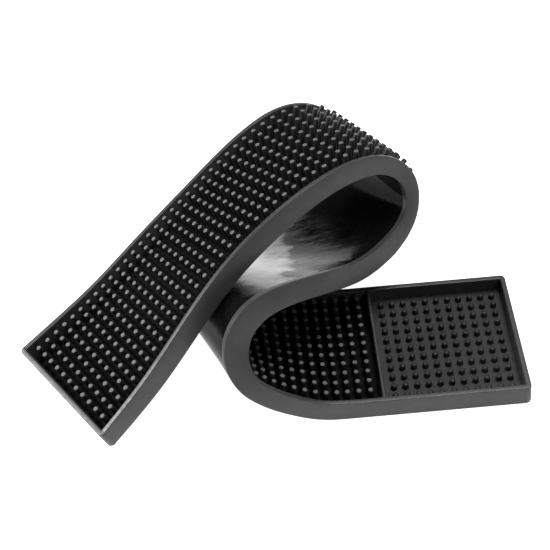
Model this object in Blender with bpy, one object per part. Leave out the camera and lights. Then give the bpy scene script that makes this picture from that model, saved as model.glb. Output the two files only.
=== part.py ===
"""Folded rubber stud mat, built from stretches of one strip that hinge where the strip bends.

The strip lies flat on its smooth underside at the tray end, curls up and back over itself with
its studs inside, turns over in a wide loop with its studs outside, and runs down to the ground.
Every shape is made on the strip: a distance along it from the tray end, a distance across it,
and a height above its underside. The curve of the strip then places it.
"""

import math

import bmesh
import bpy
from mathutils import Matrix, Vector
from mathutils.geometry import delaunay_2d_cdt

# Driving sizes, in metres
PITCH = 0.00635  # between rows of studs, along the strip
PITCH_ACROSS = 0.00648  # between the studs of a row
TOP_WIDTH = 0.0814  # over the rims, at their top faces
DRAFT = 0.0008  # how far each outer face leans out at the bottom
RIM_HEIGHT = 0.0122  # where the strip runs straight
RIM_GIVE = 0.0048  # share of its height a rim gains in a bend of 1 rad/m, or loses in a reversed one
RIM_TOP = 0.0028  # width of a rim's top face
FLOOR = 0.0020  # thickness between the tall studs
TRAY_FLOOR = 0.0030  # thickness between the short studs
CORNER_RADIUS = 0.0026
GAP = 0.0003  # between neighbouring solids

STUDS_ACROSS = 11
TRAY_ROWS = 11
TALL_ROWS = 80
END_TO_ROW = 0.0084  # from either end of the strip to its nearest row of studs
TRAY_TO_TALL = 0.0135  # last tray row to first tall row, with the divider between them
DIVIDER_WIDTH = 0.0018
DIVIDER_HEIGHT = 0.0118

TALL_STUD_TOP = 0.0126  # above the underside
TALL_BASE_RADIUS = 0.0026  # a stud's radii reach the corners of its outline
TALL_TIP_RADIUS = 0.0015
SHORT_STUD_TOP = 0.0063
SHORT_BASE_RADIUS = 0.0026
SHORT_TIP_RADIUS = 0.0021
STUD_SIDES = 3

# How the strip runs: a distance from the tray end (m), then its bend, twist and sweep there, in
# degrees for each centimetre of strip. Each runs straight from one line to the next. Bend is
# towards the studs, twist is about the strip's length, and sweep is to a side, in its plane.
COURSE = (
    (0.000, 0.0, 0.0, 0.0),
    (0.090, 0.0, 0.0, 0.0),  # the tray end lies flat
    (0.105, 4.5, 0.0, -0.5),
    (0.120, 4.0, -3.0, 0.5),
    (0.135, 2.0, -3.5, -1.0),
    (0.150, 2.5, -5.0, -2.0),
    (0.165, 18.5, -6.0, -1.0),  # the curl, studs inside
    (0.180, 25.0, -4.0, 0.5),
    (0.215, 26.0, 0.5, 2.0),
    (0.235, 5.5, 2.0, 5.5),
    (0.270, -6.5, -0.5, 2.0),  # the middle run, studs down
    (0.310, -3.0, 1.0, -3.5),
    (0.330, -19.0, 2.5, -4.0),  # the loop, studs outside
    (0.345, -29.5, 2.5, -6.0),
    (0.385, -17.0, -1.0, -3.0),
    (0.405, -6.5, -2.0, 0.0),  # the run down to the free end, studs up
    (0.450, -1.0, -1.0, 0.5),
    (0.500, -2.5, 1.0, 0.5),
    (0.550, 2.5, 2.0, 0.5),
    (0.600, -1.0, 1.5, -0.5),
)

# The tall rows in front of which the strip is cut into the stretches that hinge
CURL_CUTS = (11, 14, 17, 20, 23)
LOOP_CUTS = (37, 40, 43, 46, 49)

CURVE_STEP = 0.0005
CORNER_SIDES = 3
SAME_POINT = 1e-7
SHARP_ANGLE = math.radians(35)

SATIN = 0.5  # roughness of the rubber
RIM_GREY = (0.055, 0.055, 0.055, 1.0)
FIELD_BLACK = (0.016, 0.016, 0.016, 1.0)
TRAY_GREY = (0.032, 0.032, 0.032, 1.0)

# Worked out from the driving sizes
FIRST_TALL_ROW = END_TO_ROW + (TRAY_ROWS - 1) * PITCH + TRAY_TO_TALL
LENGTH = FIRST_TALL_ROW + (TALL_ROWS - 1) * PITCH + END_TO_ROW
DIVIDER_AT = FIRST_TALL_ROW - TRAY_TO_TALL / 2
TOP_HALF = TOP_WIDTH / 2
RIM_INNER = TOP_HALF - RIM_TOP
FIELD_HALF = RIM_INNER - GAP


# The curve of the strip


def turning(distance):
    """The strip's turning at a distance along it, about each axis of its frame, in rad/m."""
    for (start, *low), (end, *high) in zip(COURSE, COURSE[1:]):
        if distance <= end:
            break
    share = (distance - start) / (end - start)
    rates = [before + (after - before) * share for before, after in zip(low, high)]
    bend, twist, sweep = [math.radians(rate) * 100 for rate in rates]
    return Vector((twist, -bend, sweep))


def strip_frames():
    """A frame every CURVE_STEP. Its axes run along the strip, across it and out of its studs."""
    # The strip starts towards -X, so its far side is +Y. The sides are named for that start.
    frame = Matrix(((-1, 0, 0, 0), (0, 1, 0, 0), (0, 0, 1, 0), (0, 0, 0, 1)))
    frames = [frame]
    for step in range(math.ceil(LENGTH / CURVE_STEP) + 1):
        turn = turning((step + 0.5) * CURVE_STEP)
        half = Matrix()
        if turn.length:
            half = Matrix.Rotation(turn.length * CURVE_STEP / 2, 4, turn)
        frame = frame @ half @ Matrix.Translation((CURVE_STEP, 0, 0)) @ half
        frames.append(frame)
    return frames


FRAMES = strip_frames()


def place(distance, across, height, along=0.0):
    """A point of the strip. The last value moves it straight on, in the direction there."""
    index, share = divmod(distance / CURVE_STEP, 1)
    local = Vector((along, across, height))
    before = FRAMES[int(index)] @ local
    return before.lerp(FRAMES[int(index) + 1] @ local, share)


def cut_at(row):
    """The distance halfway between a tall row and the row before it."""
    return FIRST_TALL_ROW + (row - 0.5) * PITCH


# Solids. Each function gives points and faces.


def rim_height(distance):
    """A rim stands taller where the strip bends towards its studs, and lower where it bends away."""
    return RIM_HEIGHT * (1 - RIM_GIVE * turning(distance).y)


def swept(distances, outlines):
    """A bar along the strip, with an outline of (across, height) at each distance."""
    sides = len(outlines[0])
    points = []
    for distance, outline in zip(distances, outlines):
        points += [place(distance, *corner) for corner in outline]
    faces = [range(sides), range(len(points) - sides, len(points))]
    for first in range(0, len(points) - sides, sides):
        for side in range(sides):
            corner, following = first + side, first + (side + 1) % sides
            faces.append((corner, following, following + sides, corner + sides))
    return points, faces


def side_rim(distances, side):
    """The raised rim along one side: -1 is the near side, 1 the far side."""
    outlines = []
    for distance in distances:
        height = rim_height(distance)
        outlines.append(
            (
                (side * (TOP_HALF + DRAFT), 0),
                (side * TOP_HALF, height),
                (side * RIM_INNER, height),
                (side * RIM_INNER, 0),
            )
        )
    return swept(distances, outlines)


def end_outline(spread):
    """Plan of an end rim, as (inwards, across) from the end, with its outer corners rounded."""
    half = TOP_HALF + spread
    centre = TOP_HALF - CORNER_RADIUS
    radius = CORNER_RADIUS + spread
    plan = [(RIM_TOP, half)]
    for side in (1, -1):
        for step in range(CORNER_SIDES + 1):
            angle = math.pi / 2 * step / CORNER_SIDES
            if side == -1:
                angle = math.pi / 2 - angle
            inwards = CORNER_RADIUS - radius * math.sin(angle)
            plan.append((inwards, side * (centre + radius * math.cos(angle))))
    plan.append((RIM_TOP, -half))
    return plan


def end_rim(end, inwards):
    """The rim across one end. Inwards is 1 where the strip starts and -1 where it stops."""
    points = []
    for height, spread in ((0, DRAFT), (rim_height(end), 0)):
        for along, across in end_outline(spread):
            points.append(place(end, across, height, inwards * along))
    sides = len(points) // 2
    faces = [range(sides), range(sides, 2 * sides)]
    faces += [(a, (a + 1) % sides, sides + (a + 1) % sides, sides + a) for a in range(sides)]
    return points, faces


def stud_field(distances, rows, floor, base_radius, tip_radius, tip_height):
    """A floor with studs standing on it, as one closed shape."""
    plan = [(distance, -FIELD_HALF) for distance in distances]
    plan += [(distance, FIELD_HALF) for distance in reversed(distances)]
    border = len(plan)
    for row in rows:
        for stud in range(STUDS_ACROSS):
            across = (stud - (STUDS_ACROSS - 1) / 2) * PITCH_ACROSS
            plan += [(row + along, across + over) for along, over in stud_ring(base_radius)]
    points = [place(distance, across, floor) for distance, across in plan]
    points += [place(distance, across, 0) for distance, across in plan[:border]]
    faces = top_faces(plan, border)
    under = len(plan)
    for a in range(border):
        after = (a + 1) % border
        faces.append((a, after, under + after, under + a))
    for a in range(len(distances) - 1):
        near, far = under + a, under + border - 1 - a
        faces.append((near, near + 1, far - 1, far))
    for first in range(border, under, STUD_SIDES):
        row, across = stud_centre(plan[first : first + STUD_SIDES])
        tip = len(points)
        for along, over in stud_ring(tip_radius):
            points.append(place(row, across + over, tip_height, along))
        faces.append(range(tip, tip + STUD_SIDES))
        for side in range(STUD_SIDES):
            after = (side + 1) % STUD_SIDES
            faces.append((first + side, first + after, tip + after, tip + side))
    return points, faces


def stud_ring(radius):
    """The corners of a stud about its centre, as (along, across), with a side facing each way."""
    angles = [math.tau * (side + 0.5) / STUD_SIDES for side in range(STUD_SIDES)]
    return [(radius * math.cos(angle), radius * math.sin(angle)) for angle in angles]


def stud_centre(corners):
    return [sum(values) / len(corners) for values in zip(*corners)]


def top_faces(plan, border):
    """Triangles of the floor's top, which leave out the base of each stud."""
    loop = [(a, (a + 1) % border) for a in range(border)]
    flat = [Vector(point) for point in plan]
    found = delaunay_2d_cdt(flat, loop, [], 0, SAME_POINT)
    kept = []
    for triangle in found[2]:
        corners = [found[3][corner][0] for corner in triangle]
        studs = {(corner - border) // STUD_SIDES for corner in corners if corner >= border}
        if len(studs) > 1 or min(corners) < border:
            kept.append(corners)
    return kept


# Bodies and objects


def body_rows():
    """Each body's name, with its first tall row and the row after its last."""
    cuts = CURL_CUTS + LOOP_CUTS
    names = ["tray_run"]
    names += [f"curl_{number}" for number in range(1, len(CURL_CUTS))] + ["middle_run"]
    names += [f"loop_{number}" for number in range(1, len(LOOP_CUTS))] + ["down_run"]
    return list(zip(names, (0,) + cuts, cuts + (TALL_ROWS,)))


def stations(start, end, first_row, after_row):
    """The two ends of a stretch, and the distance between each two of its rows."""
    between = [cut_at(row) for row in range(first_row + 1, after_row)]
    return [start] + between + [end]


def tall_field(start, end, first_row, after_row):
    rows = [FIRST_TALL_ROW + row * PITCH for row in range(first_row, after_row)]
    distances = stations(start, end, first_row, after_row)
    return stud_field(distances, rows, FLOOR, TALL_BASE_RADIUS, TALL_TIP_RADIUS, TALL_STUD_TOP)


def tray_parts():
    """The end rim, the tray's floor with its short studs, and the divider."""
    tray_start = RIM_TOP + GAP
    tray_end = DIVIDER_AT - DIVIDER_WIDTH / 2 - GAP
    rows = [END_TO_ROW + row * PITCH for row in range(TRAY_ROWS)]
    floor = stud_field(
        [tray_start, tray_end],
        rows,
        TRAY_FLOOR,
        SHORT_BASE_RADIUS,
        SHORT_TIP_RADIUS,
        SHORT_STUD_TOP,
    )
    corners = (
        (-FIELD_HALF, 0),
        (-FIELD_HALF, DIVIDER_HEIGHT),
        (FIELD_HALF, DIVIDER_HEIGHT),
        (FIELD_HALF, 0),
    )
    half = DIVIDER_WIDTH / 2
    return {
        "tray_end_rim": (*end_rim(0, 1), RIM_GREY),
        "tray_floor": (*floor, TRAY_GREY),
        "divider": (*swept([DIVIDER_AT - half, DIVIDER_AT + half], [corners] * 2), RIM_GREY),
    }


def body_parts(name, first_row, after_row):
    """The solids of one body, by node name, each as points, faces and colour."""
    start, end = cut_at(first_row) + GAP / 2, cut_at(after_row) - GAP / 2
    rim_start, parts = start, {}
    if first_row == 0:
        start = DIVIDER_AT + DIVIDER_WIDTH / 2 + GAP
        rim_start = RIM_TOP + GAP
        parts = tray_parts()
    if after_row == TALL_ROWS:
        end = LENGTH - RIM_TOP - GAP
        parts["free_end_rim"] = (*end_rim(LENGTH, -1), RIM_GREY)
    rim_stations = stations(rim_start, end, first_row, after_row)
    parts[f"{name}_studs"] = (*tall_field(start, end, first_row, after_row), FIELD_BLACK)
    parts[f"{name}_near_rim"] = (*side_rim(rim_stations, -1), RIM_GREY)
    parts[f"{name}_far_rim"] = (*side_rim(rim_stations, 1), RIM_GREY)
    return parts


def hinge_point(first_row):
    """Where a body hinges on the one before it: on the outer face of the bend there."""
    if first_row == 0:
        return Vector((0, 0, 0))
    cut = cut_at(first_row)
    return place(cut, 0, rim_height(cut) if first_row in LOOP_CUTS else 0)


def rubber(name, colour):
    material = bpy.data.materials.new(name)
    material.use_nodes = True
    shader = material.node_tree.nodes["Principled BSDF"]
    shader.inputs["Base Color"].default_value = colour
    shader.inputs["Roughness"].default_value = SATIN
    shader.inputs["Metallic"].default_value = 0.0
    return material


def add_node(name, points, faces, colour, pivot, parent):
    """An object about its body's pivot, with smooth sides and sharp corners."""
    shape = bmesh.new()
    corners = [shape.verts.new(point - pivot) for point in points]
    for face in faces:
        shape.faces.new([corners[index] for index in face])
    bmesh.ops.recalc_face_normals(shape, faces=shape.faces)
    mesh = bpy.data.meshes.new(name)
    shape.to_mesh(mesh)
    shape.free()
    mesh.shade_smooth()
    mesh.set_sharp_from_angle(angle=SHARP_ANGLE)
    mesh.materials.append(rubber(name, colour))
    node = bpy.data.objects.new(name, mesh)
    node.parent = parent
    bpy.context.scene.collection.objects.link(node)


def add_pivot(name, location, parent):
    pivot = bpy.data.objects.new(name, None)
    pivot.empty_display_size = 0.01
    pivot.location = location
    pivot.parent = parent
    bpy.context.scene.collection.objects.link(pivot)
    return pivot


def footprint_centre(bodies):
    """The middle of everything's plan, on the ground."""
    corners = []
    for parts in bodies.values():
        for points, _, _ in parts.values():
            corners += points
    middle = [(min(values) + max(values)) / 2 for values in zip(*corners)]
    return Vector((middle[0], middle[1], 0))


def main():
    for leftover in list(bpy.data.objects):
        bpy.data.objects.remove(leftover)
    rows = body_rows()
    bodies = {name: body_parts(name, first, after) for name, first, after in rows}
    parent = add_pivot("mat", -footprint_centre(bodies), None)
    before = Vector((0, 0, 0))
    for name, first_row, _ in rows:
        pivot = hinge_point(first_row)
        parent = add_pivot(f"{name}_pivot", pivot - before, parent)
        before = pivot
        for node, (points, faces, colour) in bodies[name].items():
            add_node(node, points, faces, colour, pivot, parent)


main()
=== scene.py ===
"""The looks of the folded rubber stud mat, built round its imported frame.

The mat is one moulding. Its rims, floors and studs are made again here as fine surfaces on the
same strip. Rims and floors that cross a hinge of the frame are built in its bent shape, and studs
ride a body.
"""

import math

import bmesh
import bpy
from mathutils import Matrix, Vector


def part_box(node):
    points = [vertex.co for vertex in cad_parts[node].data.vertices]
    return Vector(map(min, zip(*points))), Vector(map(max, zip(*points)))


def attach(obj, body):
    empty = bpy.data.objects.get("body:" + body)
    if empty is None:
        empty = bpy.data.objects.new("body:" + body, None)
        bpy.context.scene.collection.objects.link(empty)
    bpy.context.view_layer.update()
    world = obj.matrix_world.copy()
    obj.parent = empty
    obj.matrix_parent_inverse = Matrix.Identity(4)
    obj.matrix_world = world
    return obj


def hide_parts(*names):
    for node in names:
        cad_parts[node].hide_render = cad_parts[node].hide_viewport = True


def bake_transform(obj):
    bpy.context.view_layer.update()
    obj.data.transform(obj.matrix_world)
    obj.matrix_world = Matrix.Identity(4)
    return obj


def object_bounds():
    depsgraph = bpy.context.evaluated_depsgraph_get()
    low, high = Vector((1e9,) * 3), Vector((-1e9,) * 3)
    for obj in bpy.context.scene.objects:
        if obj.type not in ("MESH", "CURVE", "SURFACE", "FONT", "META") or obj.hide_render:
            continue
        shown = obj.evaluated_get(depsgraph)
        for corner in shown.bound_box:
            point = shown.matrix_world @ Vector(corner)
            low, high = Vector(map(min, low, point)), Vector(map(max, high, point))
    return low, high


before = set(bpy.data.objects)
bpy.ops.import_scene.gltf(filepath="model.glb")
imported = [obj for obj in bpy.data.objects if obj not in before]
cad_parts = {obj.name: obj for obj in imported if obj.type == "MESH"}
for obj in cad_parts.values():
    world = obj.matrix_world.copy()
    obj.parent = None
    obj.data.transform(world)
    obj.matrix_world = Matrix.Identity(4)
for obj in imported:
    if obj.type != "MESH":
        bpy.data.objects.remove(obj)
CAD_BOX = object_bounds()

# Driving sizes, in metres, as in the CAD
PITCH = 0.00635
PITCH_ACROSS = 0.00648
TOP_WIDTH = 0.0814
DRAFT = 0.0008
RIM_HEIGHT = 0.0122
RIM_GIVE = 0.0048  # share of a rim's height that a bend of 1 rad/m adds, or a reversed one takes
RIM_TOP = 0.0028
FLOOR = 0.0020
TRAY_FLOOR = 0.0030
CORNER_RADIUS = 0.0026
STUDS_ACROSS = 11
TRAY_ROWS = 11
TALL_ROWS = 80
END_TO_ROW = 0.0084
TRAY_TO_TALL = 0.0135
DIVIDER_WIDTH = 0.0018
DIVIDER_HEIGHT = 0.0118
TALL_STUD_TOP = 0.0126
SHORT_STUD_TOP = 0.0063

# Fine shapes, which the CAD leaves out
RIM_EDGE = 0.0004  # radius of the rims' edges
BASE_EDGE = 0.0002
EDGE_STEPS = 4
CORNER_STEPS = 8
DIVIDER_EDGE = 0.35 * DIVIDER_WIDTH
STATION = PITCH / 8
SAME_POINT = 1e-7  # points closer than this are joined
SHARP_ANGLE = 50  # degrees between two faces, from which their edge is sharp

# Studs. A foot is (radius, height over the floor), a tip (radius, depth below the stud's top).
STUD_SIDES = 16
STUD_ROOT = 0.0008  # how deep a stud starts inside the floor
TALL_FOOT = ((0.00215, -STUD_ROOT), (0.00215, 0), (0.00200, 0.0004), (0.00175, 0.0045))
TALL_TIP = (
    (0.00142, 0.0006),
    (0.00135, 0.0003),
    (0.00120, 0.0001),
    (0.00100, 0),
    (0.00050, 0.00003),
    (0.00020, 0.00012),
)
TALL_GREY_TIP_FROM = 5  # the ring where the lighter grey tip starts
SHORT_FOOT = ((0.00190, -STUD_ROOT), (0.00190, 0), (0.00172, 0.0003), (0.00162, 0.0015))
SHORT_TIP = (
    (0.00155, 0.0009),
    (0.00142, 0.00045),
    (0.00112, 0.00018),
    (0.00065, 0.00004),
    (0.00025, 0),
)
SHORT_SATIN_FROM = 6  # the ring from which a short stud is as satin as the tray's floor

# How the strip runs, as in the CAD: a distance from the tray end (m), then its bend, twist and
# sweep there, in degrees for each centimetre of strip.
COURSE = (
    (0.000, 0.0, 0.0, 0.0),
    (0.090, 0.0, 0.0, 0.0),  # the tray end lies flat
    (0.105, 4.5, 0.0, -0.5),
    (0.120, 4.0, -3.0, 0.5),
    (0.135, 2.0, -3.5, -1.0),
    (0.150, 2.5, -5.0, -2.0),
    (0.165, 18.5, -6.0, -1.0),  # the curl, studs inside
    (0.180, 25.0, -4.0, 0.5),
    (0.215, 26.0, 0.5, 2.0),
    (0.235, 5.5, 2.0, 5.5),
    (0.270, -6.5, -0.5, 2.0),  # the middle run, studs down
    (0.310, -3.0, 1.0, -3.5),
    (0.330, -19.0, 2.5, -4.0),  # the loop, studs outside
    (0.345, -29.5, 2.5, -6.0),
    (0.385, -17.0, -1.0, -3.0),
    (0.405, -6.5, -2.0, 0.0),  # the run down to the free end, studs up
    (0.450, -1.0, -1.0, 0.5),
    (0.500, -2.5, 1.0, 0.5),
    (0.550, 2.5, 2.0, 0.5),
    (0.600, -1.0, 1.5, -0.5),
)
CURL_CUTS = (11, 14, 17, 20, 23)
LOOP_CUTS = (37, 40, 43, 46, 49)
CURVE_STEP = 0.0005
CM_PER_METRE = 100
END_RIM_GAP = 2 * PITCH  # from the outermost hinges to the rims round the ends

# Worked out from the driving sizes
FIRST_TALL_ROW = END_TO_ROW + (TRAY_ROWS - 1) * PITCH + TRAY_TO_TALL
LENGTH = FIRST_TALL_ROW + (TALL_ROWS - 1) * PITCH + END_TO_ROW
DIVIDER_AT = FIRST_TALL_ROW - TRAY_TO_TALL / 2
TOP_HALF = TOP_WIDTH / 2
RIM_INNER = TOP_HALF - RIM_TOP

# Camera, round a point given from the middle of the CAD box
LOOK_FROM_MIDDLE = Vector((0.0056, -0.0108, -0.0097))
AZIMUTH, ELEVATION, ROLL = -1.10, 47.82, -4.19
DISTANCE = 0.757
LENS = 89.8
SENSOR_WIDTH = 36

# Stage: each light's name, place from the middle of the CAD box, width, height and power
LIGHTS = (
    ("soft_left", (-1.1, 0.2, 0.7), 0.5, 0.5, 30),
    ("soft_top", (0.3, 0.2, 1.3), 0.7, 0.5, 24),
    ("soft_front", (0.5, -1.1, 0.6), 0.4, 0.4, 3.5),
)
SURROUND = 0.06
GROUND_SIZE = 8

# The underside's painted sheen, a glossy cloud, in metres along X
PAINTED_SHEEN_START, PAINTED_SHEEN_END = -0.022, 0.014
PAINTED_SHEEN_WANDER = 0.010  # how far its edges wander
PAINTED_SHEEN_RISE, PAINTED_SHEEN_FALL = 0.25, 0.7  # where it is glossy from and to, as shares of its length
DULL, GLOSSY = 0.03, 0.4
NOISE_LOW, NOISE_HIGH = 0.3, 0.7  # the range in which most values of a noise texture lie


# The curve of the strip, the same as in the CAD


def turning(distance):
    """The strip's turning at a distance along it, about each axis of its frame, in rad/m."""
    for (start, *low), (end, *high) in zip(COURSE, COURSE[1:]):
        if distance <= end:
            break
    share = (distance - start) / (end - start)
    rates = [before + (after - before) * share for before, after in zip(low, high)]
    bend, twist, sweep = [math.radians(rate) * CM_PER_METRE for rate in rates]
    return Vector((twist, -bend, sweep))


def strip_frames():
    """A frame every CURVE_STEP. Its axes run along the strip, across it and out of its studs."""
    low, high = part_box("tray_end_rim")
    start = Matrix(((-1, 0, 0, 0), (0, 1, 0, 0), (0, 0, 1, 0), (0, 0, 0, 1)))
    frame_here = Matrix.Translation((high.x - DRAFT, (low.y + high.y) / 2, low.z)) @ start
    frames = [frame_here]
    for step in range(math.ceil(LENGTH / CURVE_STEP) + 1):
        turn = turning((step + 0.5) * CURVE_STEP)
        half = Matrix()
        if turn.length:
            half = Matrix.Rotation(turn.length * CURVE_STEP / 2, 4, turn)
        frame_here = frame_here @ half @ Matrix.Translation((CURVE_STEP, 0, 0)) @ half
        frames.append(frame_here)
    return frames


FRAMES = strip_frames()


def place(distance, across, height, along=0.0):
    """A point of the strip. The last value moves it straight on, in the direction there."""
    index, share = divmod(distance / CURVE_STEP, 1)
    local = Vector((along, across, height))
    before = FRAMES[int(index)] @ local
    return before.lerp(FRAMES[int(index) + 1] @ local, share)


def rim_height(distance):
    """A rim is taller where the strip bends towards its studs, and lower where it bends away."""
    return RIM_HEIGHT * (1 - RIM_GIVE * turning(distance).y)


def cut_at(row):
    """The distance halfway between a tall row and the row before it."""
    return FIRST_TALL_ROW + (row - 0.5) * PITCH


def bodies():
    """Each body's name, its first tall row and the row after its last."""
    cuts = CURL_CUTS + LOOP_CUTS
    names = ["tray_run"]
    names += [f"curl_{number}" for number in range(1, len(CURL_CUTS))] + ["middle_run"]
    names += [f"loop_{number}" for number in range(1, len(LOOP_CUTS))] + ["down_run"]
    return list(zip(names, (0,) + cuts, cuts + (TALL_ROWS,)))


# Materials


class Nodes:
    """A material's shader tree, with short ways to add and join its nodes."""

    def __init__(self, name):
        self.material = bpy.data.materials.new(name)
        self.material.use_nodes = True
        self.tree = self.material.node_tree
        self.shader = self.tree.nodes["Principled BSDF"]
        self.place = self.add("ShaderNodeTexCoord").outputs["Object"]

    def add(self, kind, **settings):
        node = self.tree.nodes.new(kind)
        for key, value in settings.items():
            setattr(node, key, value)
        return node

    def noise(self, scale, detail):
        """Cloudy values from 0 to 1, with features about 1 / scale metres across."""
        texture = self.add("ShaderNodeTexNoise")
        texture.inputs["Scale"].default_value = scale
        texture.inputs["Detail"].default_value = detail
        self.tree.links.new(self.place, texture.inputs["Vector"])
        return texture.outputs["Fac"]

    def spread(self, source, low, high):
        """The source's middle range, stretched to run from low to high."""
        scale = self.add("ShaderNodeMapRange")
        scale.inputs["From Min"].default_value = NOISE_LOW
        scale.inputs["From Max"].default_value = NOISE_HIGH
        scale.inputs["To Min"].default_value = low
        scale.inputs["To Max"].default_value = high
        self.tree.links.new(source, scale.inputs["Value"])
        return scale.outputs["Result"]

    def grey(self, source, low, high):
        """A grey that varies from low to high."""
        value = self.spread(source, low, high)
        colour = self.add("ShaderNodeCombineColor")
        for channel in ("Red", "Green", "Blue"):
            self.tree.links.new(value, colour.inputs[channel])
        self.tree.links.new(colour.outputs["Color"], self.shader.inputs["Base Color"])

    def roughness(self, source, low, high):
        self.tree.links.new(self.spread(source, low, high), self.shader.inputs["Roughness"])

    def shine(self, level):
        self.shader.inputs["Specular IOR Level"].default_value = level

    def painted_sheen(self, source):
        """Painted sheen: shine that goes from dull to glossy and back along X. Its edges follow the
        source.
        """
        split = self.add("ShaderNodeSeparateXYZ")
        self.tree.links.new(self.place, split.inputs["Vector"])
        scale = self.add("ShaderNodeMapRange")
        self.tree.links.new(split.outputs["X"], scale.inputs["Value"])
        for socket, at in (("From Min", PAINTED_SHEEN_START), ("From Max", PAINTED_SHEEN_END)):
            edge = self.spread(source, at - PAINTED_SHEEN_WANDER, at + PAINTED_SHEEN_WANDER)
            self.tree.links.new(edge, scale.inputs[socket])
        ramp = self.add("ShaderNodeValToRGB")
        stops = ramp.color_ramp.elements
        stops[0].position, stops[1].position = 0, 1
        for stop in stops:
            stop.color = (DULL, DULL, DULL, 1)
        for position in (PAINTED_SHEEN_RISE, PAINTED_SHEEN_FALL):
            stops.new(position).color = (GLOSSY, GLOSSY, GLOSSY, 1)
        self.tree.links.new(scale.outputs["Result"], ramp.inputs["Fac"])
        self.shine((DULL + GLOSSY) / 2)
        self.tree.links.new(ramp.outputs["Color"], self.shader.inputs["Specular IOR Level"])

    def bumps(self, layers):
        """Raises the surface by each (source, height in metres), one over the other."""
        normal = None
        for source, height in layers:
            bump = self.add("ShaderNodeBump")
            bump.inputs["Distance"].default_value = height
            self.tree.links.new(source, bump.inputs["Height"])
            if normal:
                self.tree.links.new(normal, bump.inputs["Normal"])
            normal = bump.outputs["Normal"]
        self.tree.links.new(normal, self.shader.inputs["Normal"])


def rubber(name, cloud, grey, grain, roughness, bumps, shine=None, painted_sheen=None):
    """A black rubber.

    Cloud, grain and the painted sheen are the (scale, detail) of the noise in its grey, in its
    roughness and in the edges of its glossy cloud. Bumps are (scale, detail, height in metres).
    """
    nodes = Nodes(name)
    nodes.grey(nodes.noise(*cloud), *grey)
    nodes.roughness(nodes.noise(*grain), *roughness)
    if shine is not None:
        nodes.shine(shine)
    if painted_sheen is not None:
        nodes.painted_sheen(nodes.noise(*painted_sheen))
    nodes.bumps([(nodes.noise(scale, detail), height) for scale, detail, height in bumps])
    return nodes.material


def rim_rubber():
    """Satin rubber with a faint orange-peel surface."""
    return rubber(
        "rim_rubber",
        cloud=(60, 4),
        grey=(0.020, 0.030),
        grain=(400, 5),
        roughness=(0.36, 0.5),
        shine=0.35,
        bumps=[(1800, 3, 0.00004)],
    )


def field_rubber_painted_shade():
    """Matt black rubber between the studs, darkened below the tray floor's grey as painted shade.
    """
    return rubber(
        "field_rubber_painted_shade",
        cloud=(200, 4),
        grey=(0.002, 0.004),
        grain=(500, 4),
        roughness=(0.6, 0.75),
        shine=0.05,
        bumps=[(1500, 3, 0.00006)],
    )


def smooth_rubber_painted_sheen():
    """The smooth underside, with shallow flow marks and a painted sheen, a glossier cloud across
    its middle.
    """
    return rubber(
        "smooth_rubber_painted_sheen",
        cloud=(40, 4),
        grey=(0.002, 0.003),
        grain=(90, 6),
        roughness=(0.08, 0.2),
        painted_sheen=(60, 5),
        bumps=[(45, 4, 0.0006), (900, 3, 0.00002)],
    )


def stud_rubber():
    """The studs' sides."""
    return rubber(
        "stud_rubber",
        cloud=(300, 4),
        grey=(0.006, 0.012),
        grain=(700, 4),
        roughness=(0.4, 0.55),
        shine=0.3,
        bumps=[(1800, 3, 0.00005)],
    )


def tip_rubber():
    """The studs' tips, a lighter grey than their sides."""
    return rubber(
        "tip_rubber",
        cloud=(900, 4),
        grey=(0.045, 0.08),
        grain=(900, 4),
        roughness=(0.55, 0.75),
        bumps=[(2500, 3, 0.00005)],
    )


def tray_rubber():
    """The tray's satin floor and the tops of its short studs."""
    return rubber(
        "tray_rubber",
        cloud=(150, 4),
        grey=(0.012, 0.018),
        grain=(500, 4),
        roughness=(0.45, 0.6),
        shine=0.2,
        bumps=[(1500, 3, 0.00005)],
    )


def ground_white():
    """A matt floor that shows as plain white."""
    nodes = Nodes("ground_white")
    nodes.grey(nodes.noise(scale=3, detail=2), low=0.5, high=0.55)
    nodes.shine(0.0)
    nodes.shader.inputs["Roughness"].default_value = 1.0
    nodes.shader.inputs["Emission Color"].default_value = (1, 1, 1, 1)
    nodes.shader.inputs["Emission Strength"].default_value = 1.0
    return nodes.material


# Meshes


def add_piece(name, points, faces, materials, face_materials=None):
    """An object with smooth sides and sharp corners, its faces turned out."""
    shape = bmesh.new()
    corners = [shape.verts.new(point) for point in points]
    for number, face in enumerate(faces):
        made = shape.faces.new([corners[index] for index in face])
        made.smooth = True
        if face_materials:
            made.material_index = face_materials[number]
    bmesh.ops.remove_doubles(shape, verts=shape.verts, dist=SAME_POINT)
    bmesh.ops.recalc_face_normals(shape, faces=shape.faces)
    mesh = bpy.data.meshes.new(name)
    shape.to_mesh(mesh)
    shape.free()
    mesh.set_sharp_from_angle(angle=math.radians(SHARP_ANGLE))
    for material in materials:
        mesh.materials.append(material)
    piece = bpy.data.objects.new(name, mesh)
    bpy.context.scene.collection.objects.link(piece)
    return piece


def tube_faces(rings, sides):
    """The faces of a closed bar of rings, each with the same number of points, and its ends."""
    faces = [tuple(range(sides)), tuple(range((rings - 1) * sides, rings * sides))]
    for ring in range(rings - 1):
        for side in range(sides):
            a, b = ring * sides + side, ring * sides + (side + 1) % sides
            faces.append((a, b, b + sides, a + sides))
    return faces


def arc(centre, radius, start, end, steps):
    """Points of an arc from one angle to another, in degrees."""
    angles = [math.radians(start + (end - start) * step / steps) for step in range(steps + 1)]
    return [(centre[0] + radius * math.cos(a), centre[1] + radius * math.sin(a)) for a in angles]


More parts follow.
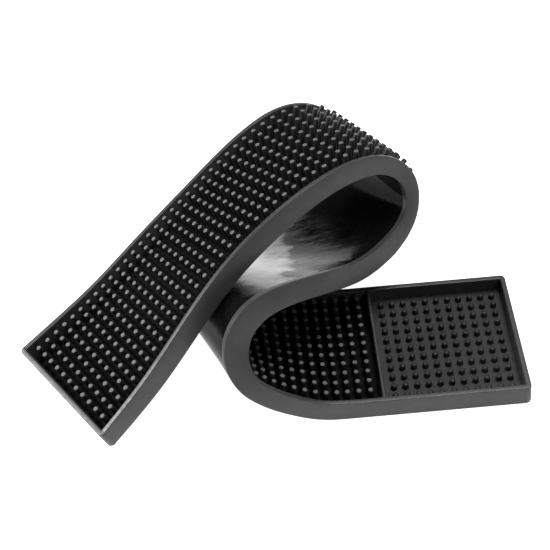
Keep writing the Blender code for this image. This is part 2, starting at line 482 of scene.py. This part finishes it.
def rim_profile(top):
    """The outline of a rim of this height, as (inwards from its outer top edge, height)."""
    lean = DRAFT / top
    outer = -DRAFT + BASE_EDGE + lean * BASE_EDGE
    points = arc((outer, BASE_EDGE), BASE_EDGE, -90, -180, EDGE_STEPS)
    points += arc((RIM_EDGE, top - RIM_EDGE), RIM_EDGE, 180, 90, EDGE_STEPS)
    points += arc((RIM_TOP - RIM_EDGE, top - RIM_EDGE), RIM_EDGE, 90, 0, EDGE_STEPS)
    points += [(RIM_TOP, FLOOR), (RIM_TOP, 0)]
    return points


def side_station(distance, side):
    """The rim's cross-section at a distance, on the near side (-1) or the far side (1)."""
    profile = rim_profile(rim_height(distance))
    return [place(distance, side * (TOP_HALF - inwards), height) for inwards, height in profile]


def end_station(end, facing, across):
    """The end rim's cross-section at a place across it. Facing is 1 at the start of the strip."""
    profile = rim_profile(rim_height(end))
    return [place(end, across, height, facing * inwards) for inwards, height in profile]


def corner_station(end, facing, side, turn):
    """A cross-section through a rounded corner. Turn goes from 0 at the side to 1 at the end."""
    angle = math.pi / 2 * turn
    centre = TOP_HALF - CORNER_RADIUS
    points = []
    for inwards, height in rim_profile(rim_height(end)):
        reach = CORNER_RADIUS - inwards
        to_end, to_side = reach * math.sin(angle), reach * math.cos(angle)
        if reach < 0:
            to_end, to_side = reach, reach
        along = facing * (CORNER_RADIUS - to_end)
        points.append(place(end, side * (centre + to_side), height, along))
    return points


def steps_between(start, end, longest):
    count = max(1, math.ceil(abs(end - start) / longest))
    return [start + (end - start) * step / count for step in range(count + 1)]


def bar(name, stations, materials):
    points = [point for station in stations for point in station]
    return add_piece(name, points, tube_faces(len(stations), len(stations[0])), materials)


def straight_rim(name, start, end, side, material):
    """One side's rim between two distances."""
    stations = [side_station(d, side) for d in steps_between(start, end, STATION)]
    return bar(name, stations, [material])


def end_rim(name, end, facing, stop, material):
    """The rim round one end of the strip, with both sides up to the distance where it stops."""
    inner = end + facing * RIM_TOP
    turns = [step / CORNER_STEPS for step in range(CORNER_STEPS + 1)]
    near = [side_station(d, -1) for d in steps_between(stop, inner, STATION)]
    near += [corner_station(end, facing, -1, turn) for turn in turns]
    across = steps_between(-RIM_INNER, RIM_INNER, PITCH)
    middle = [end_station(end, facing, place_across) for place_across in across]
    far = [corner_station(end, facing, 1, turn) for turn in reversed(turns)]
    far += [side_station(d, 1) for d in steps_between(inner, stop, STATION)]
    return bar(name, near + middle + far, [material])


def web(name, start, end, thickness, top, bottom):
    """The floor between the rims, with a matt top and a smooth underside."""
    across = steps_between(-RIM_INNER, RIM_INNER, PITCH)
    outline = [(place_across, thickness) for place_across in across]
    outline += [(place_across, 0) for place_across in reversed(across)]
    distances = steps_between(start, end, STATION)
    points = [place(d, side, height) for d in distances for side, height in outline]
    faces = tube_faces(len(distances), len(outline))
    under = [all(outline[index % len(outline)][1] == 0 for index in face) for face in faces]
    return add_piece(name, points, faces, [top, bottom], [int(value) for value in under])


def stud_profile(foot, tip, floor, top):
    """A stud's (radius, height) from its root to the middle of its tip."""
    lower = [(radius, floor + height) for radius, height in foot]
    return lower + [(radius, top - depth) for radius, depth in tip]


def studs(name, rows, profile, tip_from, materials):
    """Rows of round studs. Their faces from the ring tip_from upwards take the tip's material."""
    points, faces, face_materials = [], [], []
    ring = [math.tau * side / STUD_SIDES for side in range(STUD_SIDES)]
    for distance in rows:
        for stud in range(STUDS_ACROSS):
            across = (stud - (STUDS_ACROSS - 1) / 2) * PITCH_ACROSS
            first = len(points)
            for radius, height in profile:
                for angle in ring:
                    side = across + radius * math.sin(angle)
                    points.append(place(distance, side, height, radius * math.cos(angle)))
            for face in tube_faces(len(profile), STUD_SIDES):
                lowest_ring = min(face) // STUD_SIDES
                faces.append([first + index for index in face])
                face_materials.append(int(lowest_ring >= tip_from))
    return add_piece(name, points, faces, materials, face_materials)


def divider(material):
    """The thin wall between the tray and the tall studs, with a rounded top."""
    half, edge = DIVIDER_WIDTH / 2, DIVIDER_EDGE
    outline = [(-half, FLOOR - STUD_ROOT)]
    outline += arc((-half + edge, DIVIDER_HEIGHT - edge), edge, 180, 90, EDGE_STEPS)
    outline += arc((half - edge, DIVIDER_HEIGHT - edge), edge, 90, 0, EDGE_STEPS)
    outline += [(half, FLOOR - STUD_ROOT)]
    stations = []
    for across in steps_between(-RIM_INNER, RIM_INNER, PITCH):
        stations.append([place(DIVIDER_AT + along, across, height) for along, height in outline])
    return bar("divider_wall", stations, [material])


# Pieces on their bodies


def hinged(piece, nodes):
    """Bakes a piece's place into its mesh and hides the CAD parts given in nodes."""
    rows = bodies()
    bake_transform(piece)
    if nodes:
        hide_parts(*nodes)


def riding(piece, body, slot, *nodes):
    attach(piece, body)
    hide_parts(*nodes)


def span_ends():
    """Where each hinge's pieces start and end: its two bodies' middles, or the strip's own ends."""
    middles = [(cut_at(first) + cut_at(after)) / 2 for _, first, after in bodies()[1:-1]]
    return list(zip([0] + middles, middles + [LENGTH]))


def make_rims(material):
    """A rim round each end, which rides its run, and rims between them on both sides, built along
    the strip's curve.
    """
    spans = span_ends()
    first, last = cut_at(CURL_CUTS[0]) - END_RIM_GAP, cut_at(LOOP_CUTS[-1]) + END_RIM_GAP
    tray_end = end_rim("rim_tray_end", 0, 1, first, material)
    riding(tray_end, "tray_run", "rim", "tray_run_near_rim", "tray_run_far_rim", "tray_end_rim")
    free_end = end_rim("rim_free_end", LENGTH, -1, last, material)
    riding(free_end, "down_run", "rim", "down_run_near_rim", "down_run_far_rim", "free_end_rim")
    for joint, (start, end) in enumerate(spans):
        start, end = max(start, first), min(end, last)
        body = bodies()[joint + 1][0]
        for side, word in ((-1, "near"), (1, "far")):
            piece = straight_rim(f"rim_{word}_{joint + 1}", start, end, side, material)
            nodes = [f"{body}_{word}_rim"] if joint < len(spans) - 1 else []
            hinged(piece, nodes)


def make_webs(top, bottom):
    spans = span_ends()
    for joint, (start, end) in enumerate(spans):
        start = DIVIDER_AT if joint == 0 else start
        end = LENGTH - RIM_TOP if joint == len(spans) - 1 else end
        piece = web(f"web_{joint + 1}", start, end, FLOOR, top, bottom)
        hinged(piece, [])


def make_studs(side, tip):
    profile = stud_profile(TALL_FOOT, TALL_TIP, FLOOR, TALL_STUD_TOP)
    for body, first, after in bodies():
        rows = [FIRST_TALL_ROW + row * PITCH for row in range(first, after)]
        piece = studs(f"tall_studs_{body}", rows, profile, TALL_GREY_TIP_FROM, [side, tip])
        riding(piece, body, "stud_field", f"{body}_studs")


def make_tray(floor_top, floor_bottom, stud_side, wall):
    floor = web("tray_web", RIM_TOP, DIVIDER_AT, TRAY_FLOOR, floor_top, floor_bottom)
    riding(floor, "tray_run", "tray_floor", "tray_floor")
    rows = [END_TO_ROW + row * PITCH for row in range(TRAY_ROWS)]
    profile = stud_profile(SHORT_FOOT, SHORT_TIP, TRAY_FLOOR, SHORT_STUD_TOP)
    short = studs("short_studs", rows, profile, SHORT_SATIN_FROM, [stud_side, floor_top])
    riding(short, "tray_run", "tray_floor")
    riding(divider(wall), "tray_run", "divider", "divider")


# Stage


def area_light(name, position, target, width, height, power):
    data = bpy.data.lights.new(name, "AREA")
    data.shape = "RECTANGLE"
    data.size, data.size_y = width, height
    data.energy = power
    light = bpy.data.objects.new(name, data)
    light.location = position
    light.rotation_mode = "QUATERNION"
    light.rotation_quaternion = (target - position).to_track_quat("-Z", "Y")
    bpy.context.scene.collection.objects.link(light)


def make_stage(middle):
    """A white floor, a dim even surround and three soft boxes."""
    bpy.ops.mesh.primitive_plane_add(size=GROUND_SIZE, location=(0, 0, CAD_BOX[0].z))
    ground = bpy.context.object
    ground.name = "ground"
    ground.data.materials.append(ground_white())
    world = bpy.data.worlds.new("white")
    world.use_nodes = True
    background = world.node_tree.nodes["Background"]
    background.inputs["Color"].default_value = (1, 1, 1, 1)
    background.inputs["Strength"].default_value = SURROUND
    bpy.context.scene.world = world
    for name, offset, width, height, power in LIGHTS:
        area_light(name, middle + Vector(offset), middle, width, height, power)
    bpy.context.scene.view_settings.view_transform = "Standard"


def make_camera(middle):
    a, e = math.radians(AZIMUTH), math.radians(ELEVATION)
    back = Vector((math.sin(a) * math.cos(e), -math.cos(a) * math.cos(e), math.sin(e)))
    data = bpy.data.cameras.new("camera")
    data.lens = LENS
    data.sensor_width = SENSOR_WIDTH
    camera = bpy.data.objects.new("camera", data)
    camera.location = middle + LOOK_FROM_MIDDLE + back * DISTANCE
    level = (-back).to_track_quat("-Z", "Y").to_matrix()
    camera.rotation_euler = (level @ Matrix.Rotation(math.radians(ROLL), 3, "Z")).to_euler()
    bpy.context.scene.collection.objects.link(camera)
    bpy.context.scene.camera = camera


def main():
    middle = (CAD_BOX[0] + CAD_BOX[1]) / 2
    rim = rim_rubber()
    smooth = smooth_rubber_painted_sheen()
    make_rims(rim)
    make_webs(field_rubber_painted_shade(), smooth)
    stud_side = stud_rubber()
    make_studs(stud_side, tip_rubber())
    make_tray(tray_rubber(), smooth, stud_side, rim)
    make_stage(middle)
    make_camera(middle)
    bpy.context.view_layer.update()


main()
